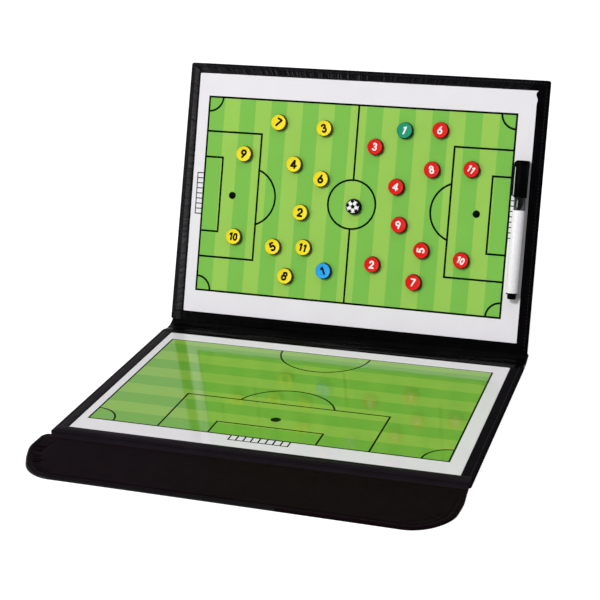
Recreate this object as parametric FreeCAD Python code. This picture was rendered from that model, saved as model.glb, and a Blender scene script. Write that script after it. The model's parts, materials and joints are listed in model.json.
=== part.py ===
import FreeCAD, Part
import math
import os

Vector = FreeCAD.Vector

# A folding tactics board: two printed steel boards in a leather folio, with a spine, a closing flap,
# a marker and magnetic tokens. The base lies on the table and the lid leans back, open.
# The origin is the middle of the base's underside. X runs along the folds, Y points towards the lid
# and Z points up. Lengths are in millimetres and angles in degrees.

# Printed boards
board_length = 297.0
board_depth = 210.0
board_thickness = 0.7
board_corner = 1.0
board_clearance = 0.15

# Leather panels, each a skin wrapped round a stiff core
skin = 0.8
lining = 0.6
core_thickness = 3.2
border = 8.5
panel_corner = 3.0
edge_round = 1.0

# Soft spine between the panels, high enough for the marker in the closed folio, and the room that
# a fold needs
closing_room = 3.2
spine_lining = 0.8
spine_inset = 1.5
fold_gap = 0.2
fold_clearance = 0.3

# Closing flap: a wall as high as the closed folio, and a tongue that folds over the lid
flap_overhang = 4.0
flap_shift = -2.8
flap_thickness = 2.6
tongue_reach = 41.7
tongue_corner = 30.0
flap_magnet_radius = 9.0
flap_magnet_thickness = 1.0
flap_magnet_spacing = 180.0
pocket_clearance = 0.1

# Open pose
spine_tilt = 10.0
lid_angle = 73.5

# Lengths closer than this count as equal
tolerance = 1e-6

# Magnetic tokens
token_radius = 7.2
token_height = 4.4
token_edge_round = 0.9
token_foot_chamfer = 0.3
token_magnet_radius = 5.0
token_magnet_height = 2.0
magnet_clearance = 0.05
seat_gap = 0.05
ball_radius = 6.9

# Token centres on the lid board, across to the right and up from its middle
token_places = {
    "yellow_02": (-47.0, -10.5),
    "yellow_03": (-31.5, 63.0),
    "yellow_04": (-56.0, 30.5),
    "yellow_05": (-69.5, -42.0),
    "yellow_06": (-31.0, 19.5),
    "yellow_07": (-72.5, 65.5),
    "yellow_08": (-56.5, -66.5),
    "yellow_09": (-102.0, 36.5),
    "yellow_10": (-106.0, -36.0),
    "yellow_11": (-42.0, -40.5),
    "blue_01": (-22.5, -59.0),
    "red_02": (20.0, -50.0),
    "red_03": (14.5, 50.0),
    "red_04": (35.5, 17.5),
    "red_05": (61.5, -34.5),
    "red_06": (69.5, 67.5),
    "red_07": (57.0, -62.0),
    "red_08": (65.0, 34.0),
    "red_09": (40.5, -14.5),
    "red_10": (96.0, -40.0),
    "red_11": (98.5, 36.5),
    "green_01": (39.0, 65.5),
}
ball_place = (-0.5, -2.0)

# Marker, held on the lid board's right margin by the magnet in its cap, with the cap upwards
pen_margin = 7.0
pen_top = 46.5
cap_radius = 5.5
cap_length = 30.5
cap_wall = 1.0
cap_end_wall = 5.0
cap_end_round = 1.0
cap_magnet_radius = 3.0
cap_magnet_length = 3.0
clip_width = 4.0
clip_thickness = 1.0
clip_slot = 0.7
clip_length = 29.0
clip_root = 4.0
collar_radius = 4.6
collar_length = 10.7
nose_length = 8.0
nose_clearance = 0.08
tip_length = 6.0
tip_radius = 2.4
nib_radius = 1.5
nib_reach = 4.0
barrel_radius = 5.2
barrel_wall = 1.0
barrel_length = 68.7
spigot_length = 8.0
spigot_clearance = 0.05
plug_radius = 3.6
plug_length = 4.0
plug_flange_radius = 4.8
plug_flange_thickness = 1.0
reservoir_clearance = 0.4
reservoir_gap = 0.3

# Worked out from the sizes above
panel_length = board_length + 2 * border
panel_depth = board_depth + 2 * border
core_top = skin + core_thickness
panel_top = core_top + lining
board_face = core_top + board_thickness
pen_radius = max(cap_radius, barrel_radius)
fold_half_gap = fold_gap / 2
spine_height = 2 * (board_face - skin) + 2 * pen_radius + closing_room
spine_length = panel_length - 2 * spine_inset
back_strip = spine_lining + fold_clearance
front_strip = flap_thickness - skin + fold_clearance
wall_height = spine_height + flap_thickness + fold_clearance
flap_width = panel_length + flap_overhang
flap_left = flap_shift - flap_width / 2
back_fold_y = panel_depth / 2 + back_strip
front_fold_y = -panel_depth / 2 - front_strip
tongue_fold_y = front_fold_y - wall_height
flap_front_y = tongue_fold_y - tongue_reach

along_folds = Vector(1, 0, 0)
upwards = Vector(0, 0, 1)
back_fold = Vector(0, back_fold_y, skin)
tilt = math.radians(spine_tilt)
lid_fold = back_fold + Vector(0, spine_height * math.cos(tilt), spine_height * math.sin(tilt))


def edges_along(shape, direction):
    """Edges of a shape that run straight along a direction."""
    found = []
    for edge in shape.Edges:
        ends = [vertex.Point for vertex in edge.Vertexes]
        if len(ends) == 2 and (ends[1] - ends[0]).cross(direction).Length < tolerance:
            found.append(edge)
    return found


def edges_at(shape, height):
    """Edges of a shape that lie flat at one height."""
    flat_edges = [edge for edge in shape.Edges if edge.BoundBox.ZLength < tolerance]
    return [edge for edge in flat_edges if abs(edge.BoundBox.ZMin - height) < tolerance]


def plate(length, depth, bottom, top, corner):
    """A flat plate centred on the Z axis, with rounded corners."""
    box = Part.makeBox(length, depth, top - bottom, Vector(-length / 2, -depth / 2, bottom))
    return box.makeFillet(corner, edges_along(box, upwards))


def prism(points, left, width):
    """A profile of (y, z) points drawn out along X."""
    corners = [Vector(left, y, z) for y, z in points]
    face = Part.Face(Part.makePolygon(corners + corners[:1]))
    return face.extrude(Vector(width, 0, 0))


# Panels: the base and the lid are the same, apart from the side of the spine and the flap

def panel_core():
    length = panel_length - 2 * skin
    depth = panel_depth - 2 * skin
    return plate(length, depth, skin, core_top, panel_corner - skin)


def board():
    return plate(board_length, board_depth, core_top, board_face, board_corner)


def fold_strip(side, reach):
    """The skin that runs on past the panel to a fold, on the side of +Y or -Y."""
    depth = panel_corner + reach - fold_half_gap
    near = panel_depth / 2 - panel_corner
    low = near if side > 0 else -near - depth
    return Part.makeBox(spine_length, depth, skin, Vector(-spine_length / 2, low, 0))


def panel_cover(strips):
    cover = plate(panel_length, panel_depth, 0, panel_top, panel_corner)
    cover = cover.makeFillet(edge_round, edges_at(cover, panel_top))
    cover = cover.cut(panel_core())
    opening_length = board_length + 2 * board_clearance
    opening_depth = board_depth + 2 * board_clearance
    cover = cover.cut(plate(opening_length, opening_depth, core_top, panel_top, board_corner))
    for side, reach in strips:
        cover = cover.fuse(fold_strip(side, reach))
    return cover.removeSplitter()


# Spine and flap

def spine_cover():
    depth = spine_height - fold_gap
    corner = Vector(-spine_length / 2, back_fold_y + fold_half_gap, 0)
    spine = Part.makeBox(spine_length, depth, skin + spine_lining, corner)
    return spine.rotated(back_fold, along_folds, spine_tilt)


def flap_wall():
    """The part of the flap that stands up in front, bevelled inside where the tongue folds over."""
    rear = front_fold_y - fold_half_gap
    front = tongue_fold_y + fold_half_gap
    bevel = flap_thickness - skin + fold_half_gap
    profile = [
        (rear, 0),
        (front, 0),
        (front, skin),
        (front + bevel, flap_thickness),
        (rear, flap_thickness),
    ]
    return prism(profile, flap_left, flap_width)


def flap_magnet_places():
    middle = tongue_fold_y - tongue_reach / 2
    offsets = (-flap_magnet_spacing / 2, flap_magnet_spacing / 2)
    return [Vector(flap_shift + offset, middle, skin) for offset in offsets]


def flap_tongue():
    rear = tongue_fold_y - fold_half_gap
    bevel = flap_thickness - skin + fold_half_gap
    profile = [
        (rear, 0),
        (flap_front_y, 0),
        (flap_front_y, flap_thickness),
        (rear - bevel, flap_thickness),
        (rear, skin),
    ]
    tongue = prism(profile, flap_left, flap_width)
    front_corners = []
    for edge in edges_along(tongue, upwards):
        if abs(edge.Vertexes[0].Y - flap_front_y) < tolerance:
            front_corners.append(edge)
    tongue = tongue.makeFillet(tongue_corner, front_corners)
    for place in flap_magnet_places():
        pocket = Part.makeCylinder(flap_magnet_radius + pocket_clearance, flap_magnet_thickness, place)
        tongue = tongue.cut(pocket)
    return tongue


def flap_magnets():
    magnets = []
    for place in flap_magnet_places():
        magnets.append(Part.makeCylinder(flap_magnet_radius, flap_magnet_thickness, place))
    return Part.makeCompound(magnets)


# Tokens, modelled with the lid lying flat and centred on the origin

def disc(radius, place):
    """A token's outside: a low disc with a rounded top edge and a small chamfer at its foot."""
    foot = board_face + seat_gap
    top = foot + token_height
    token = Part.makeCylinder(radius, token_height, Vector(place[0], place[1], foot))
    token = token.makeFillet(token_edge_round, edges_at(token, top))
    return token.makeChamfer(token_foot_chamfer, edges_at(token, foot))


def token_shell(place):
    foot = Vector(place[0], place[1], board_face + seat_gap)
    radius = token_magnet_radius + magnet_clearance
    return disc(token_radius, place).cut(Part.makeCylinder(radius, token_magnet_height, foot))


def token_magnet(place):
    foot = Vector(place[0], place[1], board_face + seat_gap)
    return Part.makeCylinder(token_magnet_radius, token_magnet_height, foot)


# Marker, modelled the same way, with distances measured down from the top of its cap

pen_across = board_length / 2 - pen_margin
pen_height = board_face + seat_gap + pen_radius
pen_start = Vector(pen_across, pen_top, pen_height)
pen_down = Vector(0, -1, 0)
barrel_start = cap_length + collar_length
barrel_end = barrel_start + barrel_length
cap_bore_radius = cap_radius - cap_wall
barrel_bore_radius = barrel_radius - barrel_wall
spigot_radius = barrel_bore_radius - spigot_clearance
reservoir_radius = barrel_bore_radius - reservoir_clearance
nose_start = cap_length - nose_length
tip_start = nose_start - tip_length


def rod(radius, start, end):
    return Part.makeCylinder(radius, end - start, pen_start + pen_down * start, pen_down)


def pen_cap():
    cap = rod(cap_radius, 0, cap_length)
    ends = [edge for edge in cap.Edges if abs(edge.BoundBox.YMax - pen_top) < tolerance]
    top_rim = [edge for edge in ends if edge.BoundBox.YLength < tolerance]
    cap = cap.makeFillet(cap_end_round, top_rim)
    cap = cap.fuse(pen_clip())
    cap = cap.cut(rod(cap_bore_radius, cap_end_wall, cap_length))
    return cap.cut(cap_magnet(pocket_clearance))


def pen_clip():
    """A springy bar along the cap's left side, joined to it at the top."""
    outer = pen_across - cap_radius - clip_slot - clip_thickness
    low = Vector(outer, pen_top - cap_end_round - clip_length, pen_height - clip_width / 2)
    bar = Part.makeBox(clip_thickness, clip_length, clip_width, low)
    root_low = Vector(outer, pen_top - cap_end_round - clip_root, pen_height - clip_width / 2)
    root = Part.makeBox(cap_radius + clip_slot + clip_thickness, clip_root, clip_width, root_low)
    return bar.fuse(root).removeSplitter()


def cap_magnet(clearance):
    middle = cap_end_wall / 2
    half = cap_magnet_length / 2 + clearance
    return rod(cap_magnet_radius + clearance, middle - half, middle + half)


def pen_collar():
    """The black insert between cap and barrel, with the nose that the cap slides over."""
    shoulder = cap_length + seat_gap
    collar = rod(collar_radius, shoulder, barrel_start)
    collar = collar.fuse(rod(cap_bore_radius - nose_clearance, nose_start, shoulder))
    tip_place = pen_start + pen_down * tip_start
    tip = Part.makeCone(tip_radius, cap_bore_radius - nose_clearance, tip_length, tip_place, pen_down)
    collar = collar.fuse(tip)
    collar = collar.fuse(rod(spigot_radius, barrel_start, barrel_start + spigot_length))
    bore = rod(nib_radius + spigot_clearance, tip_start, barrel_start + spigot_length)
    return collar.cut(bore).removeSplitter()


def pen_plug():
    plug = rod(spigot_radius, barrel_end - spigot_length, barrel_end)
    flange_end = barrel_end + plug_flange_thickness
    plug = plug.fuse(rod(plug_flange_radius, barrel_end, flange_end))
    plug = plug.fuse(rod(plug_radius, flange_end, flange_end + plug_length))
    return plug.removeSplitter()


def pen_barrel():
    tube = rod(barrel_radius, barrel_start, barrel_end)
    return tube.cut(rod(barrel_bore_radius, barrel_start, barrel_end))


def pen_wick():
    """The fibre nib and the ink reservoir behind it."""
    reservoir_start = barrel_start + spigot_length + reservoir_gap
    reservoir_end = barrel_end - spigot_length - reservoir_gap
    nib = rod(nib_radius, tip_start - nib_reach, reservoir_start)
    reservoir = rod(reservoir_radius, reservoir_start, reservoir_end)
    return Part.makeCompound([nib, reservoir])


# Assembly

def on_lid(shape):
    """Carries a shape from the flat lid, centred on the origin, to the open lid."""
    flat_fold = Vector(0, -panel_depth / 2 - back_strip, skin)
    placed = shape.translated(lid_fold - flat_fold)
    return placed.rotated(lid_fold, along_folds, lid_angle)


pieces = {
    "base_cover": panel_cover([(1, back_strip), (-1, front_strip)]),
    "base_core": panel_core(),
    "base_board": board(),
    "spine_cover": spine_cover(),
    "flap_wall": flap_wall(),
    "flap_tongue": flap_tongue(),
    "flap_magnets": flap_magnets(),
    "lid_cover": on_lid(panel_cover([(-1, back_strip)])),
    "lid_core": on_lid(panel_core()),
    "lid_board": on_lid(board()),
    "pen_barrel": on_lid(pen_barrel()),
    "pen_fittings": on_lid(Part.makeCompound([pen_collar(), pen_plug()])),
    "pen_wick": on_lid(pen_wick()),
    "pen_cap": on_lid(pen_cap()),
    "cap_magnet": on_lid(cap_magnet(0)),
    "ball_token": on_lid(disc(ball_radius, ball_place)),
}
for name, place in token_places.items():
    pieces[name + "_shell"] = on_lid(token_shell(place))
    pieces[name + "_magnet"] = on_lid(token_magnet(place))

os.makedirs("parts", exist_ok=True)
for name, shape in pieces.items():
    shape.exportStep(os.path.join("parts", name + ".step"))
    volume = sum(solid.Volume for solid in shape.Solids)
    print(f"{name}: {len(shape.Solids)} solids, {volume:.1f} cubic mm, valid {shape.isValid()}")
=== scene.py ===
import json
import math
import random

import bmesh
import bpy
import numpy as np
from mathutils import Matrix, Vector
from mathutils.geometry import delaunay_2d_cdt

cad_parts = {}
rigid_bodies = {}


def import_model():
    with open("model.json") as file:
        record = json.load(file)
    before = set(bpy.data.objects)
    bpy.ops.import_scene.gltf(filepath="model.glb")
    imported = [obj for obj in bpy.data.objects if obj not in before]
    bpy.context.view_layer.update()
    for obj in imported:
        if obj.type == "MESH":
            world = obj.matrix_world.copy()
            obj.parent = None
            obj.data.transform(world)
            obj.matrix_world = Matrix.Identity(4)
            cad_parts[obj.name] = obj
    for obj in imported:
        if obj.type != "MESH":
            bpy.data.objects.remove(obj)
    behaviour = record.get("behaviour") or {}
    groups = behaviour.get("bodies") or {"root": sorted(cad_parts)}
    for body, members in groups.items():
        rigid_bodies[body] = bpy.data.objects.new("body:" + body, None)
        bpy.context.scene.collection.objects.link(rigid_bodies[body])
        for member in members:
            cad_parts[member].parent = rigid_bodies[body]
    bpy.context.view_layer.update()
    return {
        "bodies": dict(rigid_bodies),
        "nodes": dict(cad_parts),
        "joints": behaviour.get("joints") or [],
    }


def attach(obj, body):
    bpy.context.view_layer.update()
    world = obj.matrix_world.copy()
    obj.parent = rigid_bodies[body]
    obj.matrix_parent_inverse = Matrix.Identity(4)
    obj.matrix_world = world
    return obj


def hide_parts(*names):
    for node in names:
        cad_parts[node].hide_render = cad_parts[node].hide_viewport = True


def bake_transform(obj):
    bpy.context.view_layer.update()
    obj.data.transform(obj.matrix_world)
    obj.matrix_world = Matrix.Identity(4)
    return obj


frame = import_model()

# Lengths are in millimetres and angles in degrees. A mesh is turned into metres when its piece is made.
MM = 0.001
joints = {joint["name"]: joint for joint in frame["joints"]}


def carried(points, place):
    """Points, as rows, carried by a matrix."""
    turn = np.array(place.to_3x3())
    return np.asarray(points, float) @ turn.T + np.array(place.translation)


def corners(node, place=Matrix()):
    """A node's lowest and highest corner, in the frame that a matrix carries to the open folio."""
    points = np.array([vertex.co for vertex in frame["nodes"][node].data.vertices]) / MM
    points = carried(points, place.inverted())
    return Vector(points.min(axis=0)), Vector(points.max(axis=0))


def fold_axis(joint):
    return Vector(joints[joint]["pos_m"]) / MM


def rotation(angle, axis):
    return Matrix.Rotation(math.radians(angle), 4, axis)


# Sizes and places read from the frame. The lid is modelled flat and centred like the base, and then carried
# to its open place; the spine and the lid lie flat at the upper limits of their folds.
back_fold = fold_axis("back_fold")
lid_fold = fold_axis("cover_fold")
front_fold = fold_axis("flap_wall_fold")
tongue_fold = fold_axis("flap_tongue_fold")
spine_bend = joints["back_fold"]["range_deg"][1]
lid_bend = joints["cover_fold"]["range_deg"][1]
spine_reach = (lid_fold - back_fold).length
lid_turn = rotation(spine_bend + lid_bend, "X")
flat_lid_fold = Vector((0, -back_fold.y, back_fold.z))
lid_place = Matrix.Translation(lid_fold) @ lid_turn @ Matrix.Translation(-flat_lid_fold)

core_low, core_high = corners("base_core")
board_low, board_high = corners("base_board")
cover_high = corners("base_cover")[1]
spine_half = corners("spine_cover")[1].x
flap_low = corners("flap_tongue")[0]
flap_high = corners("flap_wall")[1]
flap_width = flap_high.x - flap_low.x
skin = core_low.z
panel_half_x = cover_high.x
panel_half_y = core_high.y + skin
panel_top = cover_high.z

# Shape of the leather
leather_gap = 0.03
board_gap = 0.08
edge_radius = 1.0
panel_corner = 1.8
smallest_corner = 0.4
border_crown = 0.06
border_lip = panel_half_y - board_high.y - board_gap
lip_fall = 0.45
seam_inset = 2.6
seam_depth = 0.3
seam_width = 0.55
strip_start = board_high.y + 0.25
strip_underside = core_high.z + board_gap
border_drop = 0.62
strip_top = panel_top + 0.12
bull_nose = 1.3
flap_corner = 30.0
flap_rim = 4.7


def smooth_step(value, low, high):
    share = np.clip((np.asarray(value, float) - low) / (high - low), 0, 1)
    return share * share * (3 - 2 * share)


def bump_at(value, middle, width):
    """A rounded bump of height 1."""
    return np.exp(-((value - middle) / width) ** 2)


# Materials

# Most of a noise pattern's values lie in this range
noise_range = 0.3, 0.7
noise_detail = 3.0
SPECULAR = "Specular IOR Level"


def pattern(tree, where, kind, size):
    """A noise or cell pattern whose features have a size."""
    node = tree.nodes.new("ShaderNodeTex" + kind)
    node.inputs["Scale"].default_value = 1 / (size * MM)
    tree.links.new(where, node.inputs["Vector"])
    if kind == "Voronoi":
        node.feature = "DISTANCE_TO_EDGE"
        return node.outputs["Distance"]
    node.inputs["Detail"].default_value = noise_detail
    return node.outputs["Fac"]


def mapped(tree, value, before, after):
    """A value carried from one range to another."""
    node = tree.nodes.new("ShaderNodeMapRange")
    for socket, limit in zip(("From Min", "From Max", "To Min", "To Max"), (*before, *after)):
        node.inputs[socket].default_value = limit
    tree.links.new(value, node.inputs["Value"])
    return node.outputs["Result"]


def surface(name, colours, patch, roughness, rough_patch, relief, specular=0.5):
    """A material whose colour and roughness drift between two values over patches of a size, with layers
    of relief, each a pattern, the size of its features and their height."""
    material = bpy.data.materials.new(name)
    material.use_nodes = True
    tree = material.node_tree
    shader = tree.nodes["Principled BSDF"]
    shader.inputs[SPECULAR].default_value = specular
    where = tree.nodes.new("ShaderNodeTexCoord").outputs["Object"]

    ramp = tree.nodes.new("ShaderNodeValToRGB")
    for element, colour, stop in zip(ramp.color_ramp.elements, colours, noise_range):
        element.color = (*colour, 1)
        element.position = stop
    tree.links.new(pattern(tree, where, "Noise", patch), ramp.inputs["Fac"])
    tree.links.new(ramp.outputs["Color"], shader.inputs["Base Color"])
    rough = mapped(tree, pattern(tree, where, "Noise", rough_patch), noise_range, roughness)
    tree.links.new(rough, shader.inputs["Roughness"])

    normal = shader.inputs["Normal"]
    for kind, size, height in reversed(relief):
        bump = tree.nodes.new("ShaderNodeBump")
        bump.inputs["Distance"].default_value = height * MM
        tree.links.new(pattern(tree, where, kind, size), bump.inputs["Height"])
        tree.links.new(bump.outputs["Normal"], normal)
        normal = bump.inputs["Normal"]
    return material


def leather(name, dark, pale, shine, specular):
    patch, shine_patch = 14, 5
    grain = [("Noise", 9.0, 0.07), ("Voronoi", 0.9, 0.025), ("Noise", 0.25, 0.008)]
    return surface(name, (dark, pale), patch, shine, shine_patch, grain, specular)


def uneven(colour, share):
    """A colour made a little darker and a little lighter."""
    return [[scale * part for part in colour] for scale in (1 - share, 1 + share)]


def print_ink(name, colour, specular=0.5):
    """Glossy print, a little uneven in its colour."""
    patch, shine, shine_patch = 25, (0.07, 0.1), 30
    relief = [("Noise", 40.0, 0.03)]
    return surface(name, uneven(colour, 0.015), patch, shine, shine_patch, relief, specular)


def moulded(name, colour, shine, specular=0.3):
    """Plastic with the slight unevenness of a moulding."""
    patch, shine_patch = 4, 2
    relief = [("Noise", 0.8, 0.006), ("Noise", 5.0, 0.02)]
    return surface(name, uneven(colour, 0.025), patch, shine, shine_patch, relief, specular)


def plain_fibre(name, dark, pale, size):
    dull = 0.75, 0.95
    return surface(name, (dark, pale), size, dull, size, [("Noise", size / 3, 0.05)])


lid_leather = leather("lid_leather", (0.0026, 0.0022, 0.0033), (0.0042, 0.0037, 0.0053), (0.24, 0.32), 0.13)
base_leather = leather("base_leather", (0.0034, 0.0016, 0.0038), (0.005, 0.0026, 0.0056), (0.26, 0.34), 0.036)
# The edge leathers have no sheen: on the walls they keep off grazing reflections, and on the right border
# they are painted shade on that side.
lid_edge = leather("lid_edge", (0.0020, 0.0018, 0.0023), (0.0030, 0.0027, 0.0034), (0.5, 0.6), 0.0)
base_edge = leather("base_edge", (0.0074, 0.0064, 0.0080), (0.0094, 0.0083, 0.0101), (0.5, 0.6), 0.0)
# The spine's leather, over the fold and the borders beside it, is a darker copy of the black leather: painted
# shade.
spine_leather_painted_shade = leather("spine_leather_painted_shade", (0.001, 0.0009, 0.0011), (0.0018, 0.0016, 0.002), (0.2, 0.28), 0.06)
# The flap root's leather is a lighter copy of the black leather: a painted sheen along the base's front
# border.
root_leather_painted_light = leather("root_leather_painted_light", (0.0078, 0.0056, 0.0082), (0.0104, 0.0076, 0.0108), (0.30, 0.40), 0.03)
flap_leather = leather("flap_leather", (0.0044, 0.0015, 0.0030), (0.0060, 0.0025, 0.0044), (0.30, 0.40), 0.01)
thread = surface("thread", ((0.006, 0.006, 0.007), (0.012, 0.012, 0.014)), 0.4, (0.25, 0.4), 0.5,
                 [("Noise", 0.18, 0.02)], 0.2)
white_ink = print_ink("white_ink", (0.80, 0.775, 0.815))
lid_greens = [print_ink("lid_light_ink", (0.315, 0.575, 0.1)), print_ink("lid_dark_ink", (0.2, 0.505, 0.08))]
base_greens = [
    print_ink("base_light_ink", (0.252, 0.484, 0.060)),
    print_ink("base_dark_ink", (0.157, 0.416, 0.042)),
]
black_ink = print_ink("black_ink", (0.003, 0.006, 0.003), 0.04)
white_plastic = moulded("white_plastic", (0.84, 0.82, 0.86), (0.25, 0.32))
black_plastic = moulded("black_plastic", (0.003, 0.003, 0.004), (0.09, 0.13), 0.7)
satin_plastic = moulded("satin_plastic", (0.0014, 0.0014, 0.0018), (0.28, 0.36), 0.02)
white_number = moulded("white_number", (0.86, 0.86, 0.86), (0.4, 0.5), 0.1)
dark_number = moulded("dark_number", (0.005, 0.004, 0.004), (0.4, 0.5), 0.05)
grey_board = plain_fibre("grey_board", (0.30, 0.28, 0.25), (0.44, 0.42, 0.38), 1.5)
ferrite = plain_fibre("ferrite", (0.035, 0.035, 0.038), (0.06, 0.06, 0.065), 0.6)
felt = plain_fibre("felt", (0.03, 0.03, 0.034), (0.07, 0.07, 0.075), 0.5)


# Meshes

def add_piece(name, points, faces, materials, looks=None, place=Matrix(), sharp=40):
    """A piece from points and faces, with its faces turned outwards. Edges that turn by more than the sharp
    angle stay crisp."""
    mesh = bpy.data.meshes.new(name)
    mesh.from_pydata((carried(points, place) * MM).tolist(), [], faces)
    for material in materials:
        mesh.materials.append(material)
    if looks is not None:
        mesh.polygons.foreach_set("material_index", looks)
    shape = bmesh.new()
    shape.from_mesh(mesh)
    bmesh.ops.recalc_face_normals(shape, faces=shape.faces)
    shape.to_mesh(mesh)
    shape.free()
    mesh.shade_smooth()
    mesh.set_sharp_from_angle(angle=math.radians(sharp))
    piece = bpy.data.objects.new(name, mesh)
    bpy.context.scene.collection.objects.link(piece)
    return piece


def declare(piece, body, slot, *nodes):
    """Puts a piece on the body that it rides on and hides the nodes that it stands for. Its slot is not used.
    """
    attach(piece, body)
    if nodes:
        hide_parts(*nodes)


def declare_leather(piece, width, length, held, rest, *nodes):
    """Hides the nodes that a sheet of leather stands for. The piece, its flat size, how it is held and what
    it rests on are not used.
    """
    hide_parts(*nodes)


def assign(node, material):
    """Gives a node that keeps its shape its finish."""
    mesh = frame["nodes"][node].data
    mesh.materials.clear()
    mesh.materials.append(material)


def quads(rows, columns, closed=False):
    """Faces of a grid of points, row after row; a closed grid joins its last column to its first."""
    faces = []
    for row in range(rows - 1):
        for column in range(columns if closed else columns - 1):
            near = row * columns + column
            far = row * columns + (column + 1) % columns
            faces.append((near, far, far + columns, near + columns))
    return faces


def shifted(faces, by):
    return [tuple(index + by for index in face) for face in faces]


def looped(faces, count):
    """Faces whose points run on from the last to the first."""
    return [tuple(index % count for index in face) for face in faces]


def grid_rim(rows, columns):
    """The outermost points of a grid, in order round it."""
    last = (rows - 1) * columns
    rim = list(range(columns)) + [row * columns + columns - 1 for row in range(1, rows)]
    rim += list(range(last + columns - 2, last - 1, -1))
    return rim + [row * columns for row in range(rows - 2, 0, -1)]


def polar(radius, angle):
    return radius * math.cos(angle), radius * math.sin(angle)


turn_steps = 72


def turned_rings(profile):
    """Rings of points round the Z axis, one for each (radius, height)."""
    angles = [2 * math.pi * step / turn_steps for step in range(turn_steps)]
    return [(*polar(radius, angle), height) for radius, height in profile for angle in angles]


def turned(profile):
    """Points and faces of a profile of (radius, height), from axis to axis, turned round the Z axis."""
    rings = profile[1:-1]
    points = [(0, 0, profile[0][1]), *turned_rings(rings), (0, 0, profile[-1][1])]
    faces = shifted(quads(len(rings), turn_steps, closed=True), 1)
    last = len(points) - 1
    for step in range(turn_steps):
        following = (step + 1) % turn_steps
        faces.append((0, 1 + step, 1 + following))
        faces.append((last, last - turn_steps + step, last - turn_steps + following))
    return points, faces


def turned_tube(profile):
    """Points and faces of a closed profile of (radius, height), clear of the axis, turned round it."""
    points = turned_rings(profile)
    return points, looped(quads(len(profile) + 1, turn_steps, closed=True), len(points))


def capped_tube(rings, sides):
    """Faces of a tube of rings of points, closed at both ends."""
    last = (rings - 1) * sides
    return quads(rings, sides, closed=True) + [tuple(range(sides)), tuple(range(last, last + sides))]


# Print: flat outlines in painting order, each covering those before it

def line(start, end):
    return [start, end]


def arc(centre, radius, start, end, steps=28):
    angles = np.radians(np.linspace(start, end, steps + 1))
    return [(centre[0] + radius * math.cos(angle), centre[1] + radius * math.sin(angle)) for angle in angles]


def oval(centre, half_x, half_y, steps=40):
    angles = np.linspace(0, 2 * math.pi, steps, endpoint=False)
    return [(centre[0] + half_x * math.cos(angle), centre[1] + half_y * math.sin(angle)) for angle in angles]


def rectangle(left, low, right, high):
    return [(left, low), (right, low), (right, high), (left, high)]


def stroke(path, width, round_ends=False):
    """The outline of a line of some width along a path."""
    end_spread, end_steps = 75, 6
    path = np.array(path, float)
    along = np.gradient(path, axis=0)
    along /= np.linalg.norm(along, axis=1)[:, None]
    across = np.stack((-along[:, 1], along[:, 0]), axis=1) * width / 2
    right_side = [tuple(point) for point in path - across]
    left_side = [tuple(point) for point in (path + across)[::-1]]
    if not round_ends:
        return right_side + left_side
    near, far = [math.degrees(math.atan2(step[1], step[0])) for step in (along[0], along[-1])]
    far_end = arc(path[-1], width / 2, far - end_spread, far + end_spread, end_steps)
    near_end = arc(path[0], width / 2, near + 180 - end_spread, near + 180 + end_spread, end_steps)
    return right_side + far_end + left_side + near_end


def painted(layers):
    """Cuts outlines, each with the number of its look, into triangles; the last outline over a place wins.
    The first outline is the sheet, and nothing is kept outside it."""
    inside_only, tolerance = 1, 1e-5
    points, outlines = [], []
    for outline, _ in layers:
        outlines.append(list(range(len(points), len(points) + len(outline))))
        points.extend(Vector(point) for point in outline)
    flat, _, pieces, _, _, origins = delaunay_2d_cdt(points, [], outlines, inside_only, tolerance)
    triangles, looks = [], []
    for triangle, sources in zip(pieces, origins):
        if 0 in sources:
            triangles.append(tuple(triangle))
            looks.append(layers[max(sources)][1])
    return np.array([tuple(point) for point in flat]), triangles, looks


def thickened(flat, triangles, looks, low, high):
    """A closed sheet between two heights with the triangles on both faces."""
    count = len(flat)
    levels = [np.column_stack((flat, np.full(count, level))) for level in (high, low)]
    faces = triangles + shifted([face[::-1] for face in triangles], count)
    sides, side_looks = [], []
    used = set()
    for face in triangles:
        used.update(zip(face, face[1:] + face[:1]))
    for face, look in zip(triangles, looks):
        for start, end in zip(face, face[1:] + face[:1]):
            if (end, start) not in used:
                sides.append((start, start + count, end + count, end))
                side_looks.append(look)
    return np.vstack(levels), faces + sides, looks + looks + side_looks


WHITE, LIGHT, DARK, BLACK = range(4)
board_bevel = 0.15
board_corner = 1.0


def stripes(left, low, right, high, step, upright):
    """Mown stripes of two greens from the left or from the low side, the darker first."""
    layers = []
    start = left if upright else low
    stop = right if upright else high
    for count in range(math.ceil((stop - start) / step - 0.05)):
        near = start + count * step
        far = min(near + step, stop)
        area = rectangle(near, low, far, high) if upright else rectangle(left, near, right, far)
        layers.append((area, LIGHT if count % 2 else DARK))
    return layers


def ink(paths, width):
    return [(stroke(path, width), BLACK) for path in paths]


def frame_lines(points, width):
    """Straight lines from point to point, each run on by half a line so that corners are square."""
    lines = []
    for start, end in zip(points, points[1:]):
        start, end = Vector(start), Vector(end)
        over = (end - start).normalized() * width / 2
        lines.append(line(tuple(start - over), tuple(end + over)))
    return lines


def goal_net(middle, width, depth, outward, net_line):
    """The goal behind a goal line: a ladder of thin lines, eight cells long. Outward is a unit direction."""
    out = Vector(outward)
    along = Vector((-out.y, out.x))
    cells = 8
    paths = []
    for rung in range(cells + 1):
        foot = Vector(middle) + along * (rung / cells - 0.5) * width
        paths.append(line(tuple(foot), tuple(foot + out * depth)))
    far = Vector(middle) + out * depth
    half = along * (width + net_line) / 2
    paths.append(line(tuple(far - half), tuple(far + half)))
    return ink(paths, net_line)


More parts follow.
